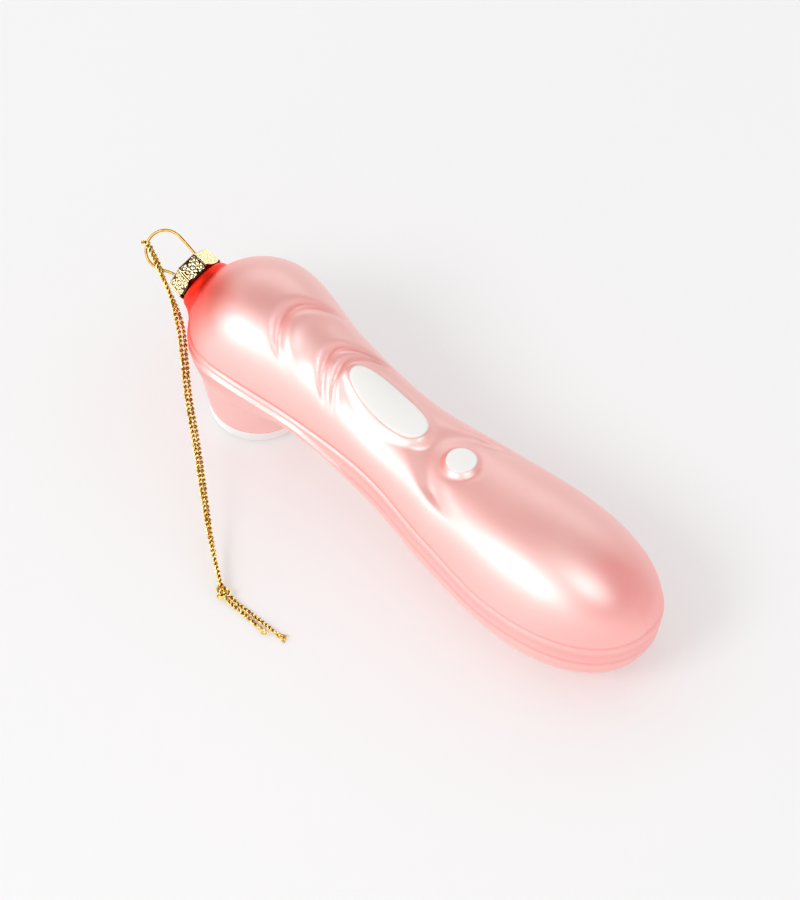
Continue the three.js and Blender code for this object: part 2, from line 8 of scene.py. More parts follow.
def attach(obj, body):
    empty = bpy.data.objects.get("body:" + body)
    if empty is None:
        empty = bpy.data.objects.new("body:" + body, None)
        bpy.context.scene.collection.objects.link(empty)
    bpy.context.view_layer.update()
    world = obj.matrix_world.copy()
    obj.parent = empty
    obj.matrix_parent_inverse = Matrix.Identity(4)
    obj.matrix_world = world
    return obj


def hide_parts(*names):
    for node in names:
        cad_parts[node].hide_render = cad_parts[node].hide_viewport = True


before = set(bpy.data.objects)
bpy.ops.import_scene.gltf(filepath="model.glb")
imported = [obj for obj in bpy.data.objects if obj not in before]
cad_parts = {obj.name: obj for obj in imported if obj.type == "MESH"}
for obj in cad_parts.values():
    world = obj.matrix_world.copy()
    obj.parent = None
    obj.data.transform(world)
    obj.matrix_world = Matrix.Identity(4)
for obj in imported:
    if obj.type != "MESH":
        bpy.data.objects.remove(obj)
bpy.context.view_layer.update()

# Glass body. The bauble is one piece of thin blown glass, silvered inside and sprayed outside with
# a satin pearl pink lacquer. It is blown into a mould of two halves, so a seam band with two
# grooves runs right round it, and the nozzle and the neck grow out of the head.
millimetre, head_place = 0.001, -0.0382847
mm = Matrix.Translation((head_place, 0, 0)) @ Matrix.Scale(millimetre, 4)

# Sizes are in millimetres, x along the grip from the head's centre and z up from the table. Half
# widths, crowns, keels and seams are given at five places, evenly spaced along the spine
spine, nose_reach, tail_reach = 80.0, 15.75, 29.0
half_widths = (15.75, 12.3, 11.5, 14.6, 16.6)
crowns = (42.5, 38.5, 32.6, 32.2, 33.2)
keels = (11.0, 15.5, 7.2, 1.6, 0.0)
seams = (27.3, 23.8, 22.6, 20.4, 19.2)
tail_seam_lift = 1.2
top_fullness, bottom_fullness, tail_fullness = 2.1, 2.5, 2.2


def ease(share):
    share = min(max(share, 0.0), 1.0)
    return share * share * (3 - 2 * share)


def along_glass(sizes, x):
    last = len(sizes) - 1
    at = min(max(x / spine, 0.0), 1.0) * last
    i = min(int(at), last - 1)
    t = at - i
    slope = [0.0] + [(sizes[k + 1] - sizes[k - 1]) / 2 for k in range(1, last)] + [0.0]
    return (sizes[i] + (sizes[i + 1] - sizes[i]) * ease(t)
            + slope[i] * t * (1 - t) ** 2 - slope[i + 1] * t * t * (1 - t))


def seam_height(x):
    return along_glass(seams, x) + tail_seam_lift * min(max((x - spine) / tail_reach, 0), 1) ** 2


def crown_height(x, y):
    seam = seam_height(x)
    share = min(abs(y) / along_glass(half_widths, x), 1.0)
    return seam + (along_glass(crowns, x) - seam) * (1 - share ** top_fullness) ** (1 / top_fullness)


def power(value, fullness):
    return math.copysign(abs(value) ** (2 / fullness), value)

def bell(distance, width):
    return math.exp(-(distance / width) ** 2)


# The seam band. Its two grooves are close together round the head and far apart along the grip;
# each has a lip beside it, and a ledge is under the lower one
head_grooves, handle_grooves, tail_grooves = (0.05, 1.85), (-4.5, 1.2), (-5.3, 0.4)
parting_start, dropping_start, groove_blend = 20, 60, 20
lip_offset, lower_lip, inner_lip, upper_lip, groove_depth = 0.8, 0.62, 0.34, 0.26, 0.28
ledge_blend, ledge_knee, ledge_proud = 5.5, 3.2, 0.3
between_proud, between_recess, widest_parting = 0.32, 0.5, 5.7
fade_start, fade_length, upper_fade = 45, 30, 0.55

def fading(x):
    return ease((x - fade_start) / fade_length)

def grooves(x):
    parting = ease((x - parting_start) / groove_blend)
    dropping = ease((x - dropping_start) / groove_blend)
    ahead = [start + (end - start) * parting for start, end in zip(head_grooves, handle_grooves)]
    return [start + (end - start) * dropping for start, end in zip(ahead, tail_grooves)]


def band(x):
    lower, upper = grooves(x)
    recess = between_recess * min((upper - lower - 2 * lip_offset) / widest_parting, 1)
    faint = 1 - upper_fade * fading(x)
    return ((lower - ledge_blend, 0.0), (lower - ledge_knee, ledge_proud),
            (lower - lip_offset, lower_lip), (lower, -groove_depth), (lower + lip_offset, inner_lip),
            ((lower + upper) / 2, between_proud - recess), (upper - lip_offset, upper_lip),
            (upper, -groove_depth * faint), (upper + lip_offset, 0.0))


def band_proud(profile, height):
    for (low, below), (high, above) in zip(profile, profile[1:]):
        if low <= height <= high:
            return below + (above - below) * ease((height - low) / (high - low))
    return 0.0


# The pad's and the button's outlines, and how far a place is outside them
pad_centre, pad_length, pad_width, pad_taper, pad_fullness = 36.7, 20.4, 8.1, 0.1, 2.4
button_centre, button_width = 57.3, 6.5


def outside_pad(x, y):
    along = (x - pad_centre) / (pad_length / 2)
    across = y / (pad_width / 2 * (1 + pad_taper * min(max(along, -1), 1)))
    ring = (abs(along) ** pad_fullness + abs(across) ** pad_fullness) ** (1 / pad_fullness)
    reach = math.hypot(x - pad_centre, y)
    return reach * (1 - 1 / ring) if ring > 0.05 else -pad_width / 2


def outside_button(x, y):
    return math.hypot(x - button_centre, y) - button_width / 2


# Creases across the crown: apex, curl on the near and far side, half width, depth, lip behind
creases = (
    (8.3, 0.066, 0.085, 1.55, 0.85, 0.30),
    (20.8, 0.070, 0.120, 1.05, 0.75, 0.10),
    (24.4, 0.056, 0.090, 0.62, 0.60, 0.10),
)
crease_reach, crease_blend, lip_place, lip_width = 9.8, 3.6, 2.2, 1.3
pad_mound, pad_foot, button_mound, button_foot = 0.62, 2.6, 0.55, 0.9
moat_place, moat_width, moat_depth = 1.5, 0.7, 0.15
dip_centre, dip_bend, dip_width, dip_reach, dip_blend = 49.8, 0.10, 3.6, 8, 3.5
dip_to_pad, dip_under_button, dip_to_button = 2.4, 0.4, 1.6

def across_creases(x, y):
    fade = 1 - ease((abs(y) - crease_reach + crease_blend) / crease_blend)
    for apex, near, far, width, depth, lip in creases:
        yield x - apex - (near if y < 0 else far) * y * y, fade, width, depth, lip

def relief(x, y):
    height = 0.0
    for past, fade, width, depth, lip in across_creases(x, y):
        height -= fade * depth * bell(past, width)
        height += fade * lip * bell(past - lip_place * width, lip_width * width)
    height += pad_mound * (1 - ease(outside_pad(x, y) / pad_foot))
    height += button_mound * (1 - ease(outside_button(x, y) / button_foot))
    height -= moat_depth * bell(outside_button(x, y) - moat_place, moat_width)
    # A shallow dip between the pad and the bulb grip, bent round the button
    dip = bell(x - dip_centre - dip_bend * y * y, dip_width)
    dip *= 1 - ease((abs(y) - dip_reach) / dip_blend)
    dip *= ease(outside_pad(x, y) / dip_to_pad)
    return height - dip * ease((outside_button(x, y) + dip_under_button) / dip_to_button)


side_columns, end_columns, skin_rows = 150, 74, 150
keel_share, crown_share, relief_rise = 0.16, 0.4, 3
columns = 2 * (side_columns + end_columns)


# The skin is one grid. Its columns go along the far side, round the tail, back along the near side
# and round the nose, and its rows go up from the keel over the seam band to the crown
def skin_place(across_grid, up_grid):
    column = round(across_grid * columns) % columns
    on_far = column < side_columns + end_columns
    step = column if on_far else column - side_columns - end_columns
    sign = 1 if on_far else -1
    if step < side_columns:
        x0 = spine * step / side_columns
        x0, across, along = (x0 if on_far else spine - x0), sign, 0.0
    else:
        turn = math.pi * (step - side_columns) / end_columns
        x0, across, along = (spine if on_far else 0.0), sign * math.cos(turn), sign * math.sin(turn)
    rise = along_glass(crowns, x0) - along_glass(seams, x0)
    drop = along_glass(seams, x0) - along_glass(keels, x0)
    profile = band(x0)
    foot, head = profile[0][0], profile[-1][0]
    lowest = -math.asin((-foot / drop) ** (bottom_fullness / 2))
    highest = math.asin((head / rise) ** (top_fullness / 2))
    if up_grid < keel_share:
        angle = -math.pi / 2 + (lowest + math.pi / 2) * up_grid / keel_share
    elif up_grid > 1 - crown_share:
        angle = highest + (math.pi / 2 - highest) * (up_grid - (1 - crown_share)) / crown_share
    else:
        height = foot + (head - foot) * (up_grid - keel_share) / (1 - crown_share - keel_share)
        if height > 0:
            angle = math.asin((height / rise) ** (top_fullness / 2))
        else:
            angle = -math.asin((-height / drop) ** (bottom_fullness / 2))
    fullness = top_fullness if angle > 0 else bottom_fullness
    out = power(max(math.cos(angle), 0.0), fullness)
    ends = tail_fullness if x0 > 0 else 2
    reach = tail_reach if x0 > 0 else nose_reach
    half = along_glass(half_widths, x0)
    x = x0 + reach * power(along, ends) * out
    y = half * power(across, ends) * out
    seam = seam_height(x)
    z = seam + (rise if angle > 0 else drop) * power(math.sin(angle), fullness)
    push = Vector((along / reach, across / half)).normalized() * band_proud(profile, z - seam)
    x, y = x + push.x, y + push.y
    if angle > 0:
        z += relief(x, y) * ease((z - seam - relief_rise) / relief_rise)
    return x, y, z


skin = bmesh.new()
bmesh.ops.create_grid(skin, x_segments=columns, y_segments=skin_rows, size=1)
for vert in skin.verts:
    vert.co = skin_place((vert.co.x + 1) / 2, (vert.co.y + 1) / 2)
bmesh.ops.remove_doubles(skin, verts=skin.verts, dist=0.002)
bmesh.ops.recalc_face_normals(skin, faces=skin.faces)


def spun(profile, steps):
    turned = bmesh.new()
    corners = [turned.verts.new((radius, 0, height)) for radius, height in profile]
    edges = [turned.edges.new(pair) for pair in zip(corners, corners[1:])]
    bmesh.ops.spin(turned, geom=corners + edges, axis=(0, 0, 1), cent=(0, 0, 0),
                   angle=2 * math.pi, steps=steps, use_merge=True)
    bmesh.ops.remove_doubles(turned, verts=turned.verts, dist=0.001)
    bmesh.ops.recalc_face_normals(turned, faces=turned.faces)
    return turned


# A smooth line of points through a few given ones
def through(points, step):
    points = [Vector(point) for point in points]
    ends = [2 * points[0] - points[1]] + points + [2 * points[-1] - points[-2]]
    route = []
    for before, start, end, after in zip(ends, ends[1:], ends[2:], ends[3:]):
        first = math.sqrt((start - before).length)
        middle = math.sqrt((end - start).length)
        last = math.sqrt((after - end).length)
        leaving = ((start - before) / first - (end - before) / (first + middle)
                   + (end - start) / middle) * middle
        coming = ((end - start) / middle - (after - start) / (middle + last)
                  + (after - end) / last) * middle
        count = max(round((end - start).length / step), 1)
        for i in range(count):
            t = i / count
            route.append(start * (2 * t ** 3 - 3 * t ** 2 + 1) + leaving * (t ** 3 - 2 * t ** 2 + t)
                         + end * (3 * t ** 2 - 2 * t ** 3) + coming * (t ** 3 - t ** 2))
    return route + [points[-1]]


def rounded(profile, step):
    route = through([(radius, 0, height) for radius, height in profile], step)
    return [(max(point.x, 0.0), point.z) for point in route]


# The nozzle leans a little forward and stands on a rolled ring with a dished end
nozzle_forward, paint_height, nozzle_steps, nozzle_detail = 2.1, 3.9, 200, 0.45
nozzle = spun([(0, 1.6), (5.9, 1.6)] + rounded([
    (6.6, 1.35), (7.3, 0.5), (8.0, 0.05), (8.9, 0.0), (9.75, 0.06), (10.45, 0.42), (10.75, 1.1),
    (10.9, 2.4), (11.1, 3.9), (11.9, 8.0), (13.4, 16.0), (14.3, 20.2), (15.0, 24.0),
], nozzle_detail) + [(14.6, 26.4), (0, 26.4)], nozzle_steps)
for vert in nozzle.verts:
    vert.co.x -= nozzle_forward * min(max(1 - vert.co.z / seams[0], 0), 1)

# The neck tilts up from the head: a wide shoulder, then the stub that the cap is pushed over
neck_pitch, hanger_turn = math.radians(16.7), math.radians(33)
neck_axis = Vector((-math.cos(neck_pitch), 0, math.sin(neck_pitch)))
neck_up = Vector((math.sin(neck_pitch), 0, math.cos(neck_pitch)))
across_loop = Vector((0, math.cos(hanger_turn), 0)) + neck_up * math.sin(hanger_turn)
through_loop = across_loop.cross(neck_axis)
neck_height = 23.2
neck_frame = (Matrix.Translation((0, 0, neck_height))
              @ Matrix((through_loop, across_loop, neck_axis)).transposed().to_4x4())
stub_radius, stub_end, bore_radius, neck_steps, neck_detail = 4.3, 22.8, 3.7, 120, 0.3
neck = spun([(0, 11.0), (9.6, 11.0)] + rounded([
    (9.4, 13.0), (8.0, 14.8), (7.0, 16.0), (6.45, 17.2), (6.15, 18.1), (5.7, 18.7),
    (4.75, 18.95), (stub_radius, 19.5),
], neck_detail) + [
    (stub_radius, 21.0), (stub_radius, 22.6), (4.15, stub_end), (3.85, stub_end),
    (bore_radius, 22.6), (bore_radius, 20.0), (bore_radius, 18.0), (0, 18.0),
], neck_steps)
bore = spun([(0, 10.8), (bore_radius, 10.8), (bore_radius, 15.0), (bore_radius, 19.0), (0, 19.0)],
            neck_steps)
for part in (neck, bore):
    bmesh.ops.transform(part, matrix=neck_frame, verts=part.verts)


def meshed(name, shape):
    mesh = bpy.data.meshes.new(name)
    shape.to_mesh(mesh)
    shape.free()
    piece = bpy.data.objects.new(name, mesh)
    bpy.context.collection.objects.link(piece)
    return piece


glass = meshed("lacquered_glass_body", skin)
helpers = [meshed("nozzle", nozzle), meshed("neck", neck), meshed("bore", bore)]
for helper, operation in zip(helpers, ("UNION", "UNION", "DIFFERENCE")):
    joined = glass.modifiers.new(helper.name, "BOOLEAN")
    joined.object, joined.operation, joined.solver = helper, operation, "EXACT"
bpy.context.view_layer.update()
blown = bmesh.new()
blown.from_mesh(glass.evaluated_get(bpy.context.evaluated_depsgraph_get()).to_mesh())
glass.modifiers.clear()
for helper in helpers:
    bpy.data.objects.remove(helper)

# Hot glass leaves no sharp corner where the nozzle and the neck meet the head, so the corners there
# are smoothed out, most at the corner itself
bmesh.ops.remove_doubles(blown, verts=blown.verts, dist=0.01)
blown.normal_update()
corner_angle, shoulder_end = 0.3, 18.2
corners = [vert for vert in blown.verts
           if any(edge.is_manifold and edge.calc_face_angle() > corner_angle for edge in vert.link_edges)]
near = kdtree.KDTree(len(corners))
for i, vert in enumerate(corners):
    near.insert(vert.co, i)
near.balance()
neck_foot = neck_frame @ Vector((0, 0, shoulder_end))
stub_edge, bore_end, bore_margin = -0.6, -9, 0.4
rim_margin, crown_edge, band_front, band_under = 3, 38, -9, -3.2
smoothing = ((3.0, 10), (2.0, 14), (1.2, 12))

# The stub, the rim, the crown, the bore and the seam band keep the shape they were moulded in
def is_soft(vert, reach):
    in_neck = (vert.co - neck_foot).dot(neck_axis)
    if in_neck > stub_edge or vert.co.z < paint_height + rim_margin or vert.co.z > crown_edge:
        return False
    if (vert.co - neck_foot).cross(neck_axis).length < bore_radius + bore_margin and in_neck > bore_end:
        return False
    if vert.co.x > band_front and vert.co.z - seam_height(vert.co.x) > band_under:
        return False
    return near.find(vert.co)[2] < reach

for reach, rounds in smoothing:
    soft = [vert for vert in blown.verts if is_soft(vert, reach)]
    for _ in range(rounds):
        bmesh.ops.smooth_vert(blown, verts=soft, factor=0.5,
                              use_axis_x=True, use_axis_y=True, use_axis_z=True)

# The white paint ends in a clean line near the rim, over a thin red line of pooled lacquer
red_line = 0.32
for height in (paint_height, paint_height + red_line):
    ring = [face for face in blown.faces if face.calc_center_median().x < half_widths[0]]
    edges = {edge for face in ring for edge in face.edges}
    verts = {vert for face in ring for vert in face.verts}
    bmesh.ops.bisect_plane(blown, geom=[*verts, *edges, *ring], plane_co=(0, 0, height),
                           plane_no=(0, 0, 1), dist=0.0001)


# Lacquer pools in the grooves and round the raised parts, where it looks redder. Painted shade makes
# the grooves and creases, the flanks above the seam band, the far side of the grip and the tail end
# redder as well. Each of these is given by its depth and its half width
lower_groove_pool_and_shade, upper_groove_pool_and_shade, upper_groove_shade_fade = (0.8, 0.42), (0.6, 0.5), 0.5
between_grooves_pool_and_shade, between_start, between_blend = (0.5, 1.4), 30, 20
far_flank_painted_shade, near_flank_painted_shade, shoulder_place, band_top = (0.7, 2.8), (0.16, 2.8), 3.2, 3.4
pad_ring_pool_and_shade, pad_ring, button_ring_pool_and_shade, button_ring = (0.32, 0.3), 0.1, (0.45, 0.6), 0.8
crease_pool_and_shade, crease_ahead, crease_width = 0.75, 0.1, 1.05
tail_spot_painted_shade, spot_x, spot_y, spot_length, spot_width = 0.75, 99.5, 1.5, 6.5, 5
tail_end_painted_shade, tail_start, tail_blend = 0.5, 86, 18
far_side_painted_shade, side_start, side_blend, side_edge, side_width = 0.36, 58, 20, 7, 8

def redness_at(distance, depth, width):
    return depth * bell(distance, width)

def pooled_and_shaded(place):
    x, y, z = place
    over = z - seam_height(x)
    # Painted shade: the flanks just above the seam band are redder, far more on the far side, where the
    # glass turns away from the light
    redness = redness_at(over - shoulder_place, *(far_flank_painted_shade if y > 0 else near_flank_painted_shade))
    if over < band_top:
        lower, upper = grooves(x)
        redness += redness_at(over - lower, *lower_groove_pool_and_shade)
        redness += (1 - upper_groove_shade_fade * fading(x)) * redness_at(over - upper, *upper_groove_pool_and_shade)
        redness += ease((x - between_start) / between_blend) * redness_at(over - (lower + upper) / 2, *between_grooves_pool_and_shade)
    else:
        # The creases hold pooled lacquer and painted shade
        for past, fade, width, _, _ in across_creases(x, y):
            redness += fade * redness_at(past + crease_ahead * width, crease_pool_and_shade, crease_width * width)
        redness += redness_at(outside_pad(x, y) - pad_ring, *pad_ring_pool_and_shade)
        redness += redness_at(outside_button(x, y) - button_ring, *button_ring_pool_and_shade)
    # Painted shade: a spot on the tail, the tail end and the far side of the bulb grip are redder
    redness += tail_spot_painted_shade * bell(x - spot_x, spot_length) * bell(y - spot_y, spot_width)
    redness += tail_end_painted_shade * ease((x - tail_start) / tail_blend)
    redness += far_side_painted_shade * ease((x - side_start) / side_blend) * ease((y - side_edge) / side_width)
    return min(redness, 1.0)

# It is sprayed on deepest round the neck, and reaches further on the near side
near_flush, far_flush, flush_side, flush_turn, flush_blend, flush_depth = 25.0, 18.0, -7, 9, 14, 0.9
flush_foot, flush_rise, flush_end = 13, 8, 12
collar_depth, collar_start, collar_blend, collar_end = 0.6, 3.6, 3.4, -10

def flushed(place):
    x, y, z = place
    if x > flush_end:
        return 0.0
    to_place = Vector(place) - neck_foot
    reach = near_flush + (far_flush - near_flush) * ease((y - flush_side) / flush_turn)
    flush = flush_depth * ease((reach - to_place.length) / flush_blend) * ease((z - flush_foot) / flush_rise)
    if x < collar_end:
        flush += collar_depth * ease((to_place.dot(neck_axis) + collar_start) / collar_blend)
    return min(flush, 1.0)

pool_and_shade = blown.verts.layers.float.new("pooled_lacquer_and_painted_shade")
blush = blown.verts.layers.float.new("neck_flush")
for vert in blown.verts:
    vert[pool_and_shade], vert[blush] = pooled_and_shaded(vert.co), flushed(vert.co)
for face in blown.faces:
    face.smooth = True
    middle = face.calc_center_median()
    if middle.x < half_widths[0] and middle.z < paint_height + red_line:
        face.material_index = 1 if middle.z < paint_height else 2
bmesh.ops.transform(blown, matrix=mm, verts=blown.verts)
blown.to_mesh(glass.data)
blown.free()


class Finish:
    def __init__(self, name):
        self.material = bpy.data.materials.new(name)
        self.material.use_nodes = True
        self.tree = self.material.node_tree
        self.shader = self.tree.nodes["Principled BSDF"]

    def node(self, kind, **settings):
        made = self.tree.nodes.new(kind)
        for name, value in settings.items():
            if hasattr(made, name):
                setattr(made, name, value)
            else:
                made.inputs[name.replace("_", " ")].default_value = value
        return made

    def link(self, start, end):
        self.tree.links.new(start, end)

    def surface(self, **sockets):
        for name, value in sockets.items():
            self.shader.inputs[name.replace("_", " ")].default_value = value

    def feed(self, **sockets):
        for name, value in sockets.items():
            self.link(value, self.shader.inputs[name.replace("_", " ")])

    def attribute(self, name):
        return self.node("ShaderNodeAttribute", attribute_name=name).outputs["Fac"]

    def mapped(self, value, **ends):
        spread = self.node("ShaderNodeMapRange", **ends)
        self.link(value, spread.inputs["Value"])
        return spread.outputs["Result"]

    def grain(self, scale, detail=3.0):
        noise = self.node("ShaderNodeTexNoise", Scale=scale, Detail=detail)
        self.link(self.node("ShaderNodeTexCoord").outputs["Object"], noise.inputs["Vector"])
        return noise.outputs["Fac"]

    def mottled(self, scale, *stops):
        self.feed(Base_Color=self.ramp(self.grain(scale), *stops))

    def ramp(self, factor, *stops):
        ramp = self.node("ShaderNodeValToRGB")
        for stop in stops[2:]:
            ramp.color_ramp.elements.new(stop[0])
        for element, (at, colour) in zip(ramp.color_ramp.elements, stops):
            element.position, element.color = at, (*colour, 1)
        self.link(factor, ramp.inputs["Fac"])
        return ramp.outputs["Color"]

    def blend(self, factor, start, end):
        mix = self.node("ShaderNodeMix", data_type="RGBA")
        self.link(factor, mix.inputs["Factor"])
        for socket, value in (("A", start), ("B", end)):
            target = [entry for entry in mix.inputs if entry.name == socket and entry.type == "RGBA"][0]
            if isinstance(value, tuple):
                target.default_value = (*value, 1)
            else:
                self.link(value, target)
        return [entry for entry in mix.outputs if entry.type == "RGBA"][0]

    def bumps(self, height, strength, distance):
        bump = self.node("ShaderNodeBump", Strength=strength, Distance=distance)
        self.link(height, bump.inputs["Height"])
        self.feed(Normal=bump.outputs["Normal"])


lacquer = Finish("satin_pearl_pink_lacquer")
lacquer.surface(IOR=3.7, Specular_Tint=(0.7, 1.0, 1.0, 1))
pearl = lacquer.ramp(lacquer.grain(38, 2), (0.3, (0.94, 0.245, 0.20)), (0.7, (0.98, 0.285, 0.235)))
# Pooled lacquer and painted shade turn the pearl pink towards deep red
pink = lacquer.blend(lacquer.attribute("pooled_lacquer_and_painted_shade"), pearl, (0.97, 0.09, 0.065))
neck_flush = lacquer.attribute("neck_flush")
for start, red in ((0.0, (1.0, 0.13, 0.08)), (0.5, (1.0, 0.02, 0.002))):
    pink = lacquer.blend(lacquer.mapped(neck_flush, From_Min=start, From_Max=start + 0.5), pink, red)
lacquer.feed(
    Base_Color=pink,
    Metallic=lacquer.mapped(neck_flush, To_Min=0.05, To_Max=0.97, From_Min=0.1, From_Max=0.9),
    Roughness=lacquer.mapped(lacquer.grain(70, 3), To_Min=0.38, To_Max=0.5))
lacquer.bumps(lacquer.grain(5200, 2), 0.05, 0.00004)

red_edge = Finish("pooled_red_lacquer_line")
red_edge.surface(Metallic=0.35, Roughness=0.3, Coat_Weight=0.5, Coat_Roughness=0.2)
red_edge.mottled(240, (0.35, (0.80, 0.20, 0.16)), (0.65, (0.90, 0.36, 0.30)))

rim_paint = Finish("white_rim_enamel")
rim_paint.surface(Roughness=0.32, Coat_Weight=0.4, Coat_Roughness=0.15)
rim_paint.mottled(160, (0.3, (0.92, 0.92, 0.91)), (0.7, (0.96, 0.96, 0.95)))
rim_paint.bumps(rim_paint.grain(1500), 0.12, 0.00005)
for finish in (lacquer, rim_paint, red_edge):
    glass.data.materials.append(finish.material)
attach(glass, "glass")
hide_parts("glass_body")

# Pad and button. They are raised ovals of the same glass, dipped or brushed with a matte off-white
# enamel. The paint is thick enough to show a rounded edge, so each is a thin shell over its mound.
enamel = Finish("matte_white_enamel")
enamel.surface(Roughness=0.55)
enamel.mottled(90, (0.3, (0.86, 0.85, 0.82)), (0.7, (0.90, 0.89, 0.865)))
enamel.bumps(enamel.grain(2600), 0.10, 0.00005)
boss_segments, boss_rings, skirt_depth = 96, 24, 0.55


def boss(name, centre, length, width, proud, taper, fullness, shoulder):
    top = bmesh.new()
    bmesh.ops.create_circle(top, cap_ends=True, cap_tris=True, radius=1, segments=boss_segments)
    spokes = [edge for edge in top.edges if not edge.is_boundary]
    bmesh.ops.subdivide_edges(top, edges=spokes, cuts=boss_rings - 1, use_grid_fill=True)
    hem = bmesh.ops.extrude_edge_only(top, edges=[edge for edge in top.edges if edge.is_boundary])
    skirt = {vert for vert in hem["geom"] if isinstance(vert, bmesh.types.BMVert)}
    for vert in top.verts:
        angle, ring = math.atan2(vert.co.y, vert.co.x), vert.co.xy.length
        lean = 1 + taper * math.cos(angle)
        x = centre + length / 2 * ring * power(math.cos(angle), fullness)
        y = width / 2 * ring * power(math.sin(angle), fullness) * lean
        edge = (1 - ring) * width / 2
        lift = proud - shoulder * (1 - math.sqrt(1 - min(max(1 - edge / shoulder, 0), 1) ** 2))
        if vert in skirt:
            lift -= skirt_depth
        vert.co = (x, y, crown_height(x, y) + lift)
    bmesh.ops.recalc_face_normals(top, faces=top.faces)
    for face in top.faces:
        face.smooth = True
    bmesh.ops.transform(top, matrix=mm, verts=top.verts)
    piece = meshed(name, top)
    piece.data.materials.append(enamel.material)
    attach(piece, "glass")


boss("painted_pad", pad_centre, pad_length, pad_width, 0.9, pad_taper, pad_fullness, 0.22)
boss("painted_button", button_centre, button_width, button_width, 0.95, 0, 2, 0.2)

# Crown cap. It is stamped from thin gold-plated sheet: a seven-sided bell, slit between its petals
# so that it springs over the neck, and embossed all over with beads and curls. Dark patina stays
# in the hollows and the raised parts are rubbed bright. The petals that face up and towards the far
# side are painted brighter gold as well, a painted sheen.
cap_height, cap_top_radius, cap_hem_radius, cap_dome, petals = 4.4, 5.5, 6.2, 0.5, 7
petal_turn, sheet_thickness = math.radians(14), 0.35
cap_clearance = 0.3
cap_top = stub_end + cap_clearance + sheet_thickness
cap_foot = cap_top - cap_height
half_petal = math.pi / petals
# On each petal: place across it, height over the hem and radius. A curl is a ring with a line width
wall_beads = (
    (0.0, 2.25, 0.42), (0.0, 3.25, 0.26), (0.0, 1.2, 0.3), (0.78, 2.75, 0.28), (-0.78, 2.75, 0.28),
    (0.82, 1.7, 0.28), (-0.82, 1.7, 0.28), (1.55, 2.25, 0.34), (-1.55, 2.25, 0.34),
    (1.45, 3.35, 0.3), (-1.45, 3.35, 0.3), (1.5, 1.05, 0.32), (-1.5, 1.05, 0.32),
    (0.7, 3.7, 0.2), (-0.7, 3.7, 0.2), (0.72, 0.62, 0.24), (-0.72, 0.62, 0.24), (2.1, 2.9, 0.2),
    (-2.1, 2.9, 0.2), (2.15, 1.6, 0.2), (-2.15, 1.6, 0.2),
)
wall_curls = ((0.0, 2.25, 0.85, 0.13), (1.5, 3.35, 0.62, 0.11), (-1.5, 3.35, 0.62, 0.11),
              (1.5, 1.1, 0.62, 0.11), (-1.5, 1.1, 0.62, 0.11))
line_height = 0.8

def bead(distance, radius):
    return math.exp(-(distance / radius) ** 4)


def embossed(side, height):
    raised = 0.0
    for x, y, radius in wall_beads:
        raised = max(raised, bead(math.hypot(side - x, height - y), radius))
    for x, y, radius, width in wall_curls:
        ring = math.hypot(side - x, height - y) - radius
        raised = max(raised, line_height * bell(ring, width))
    return raised


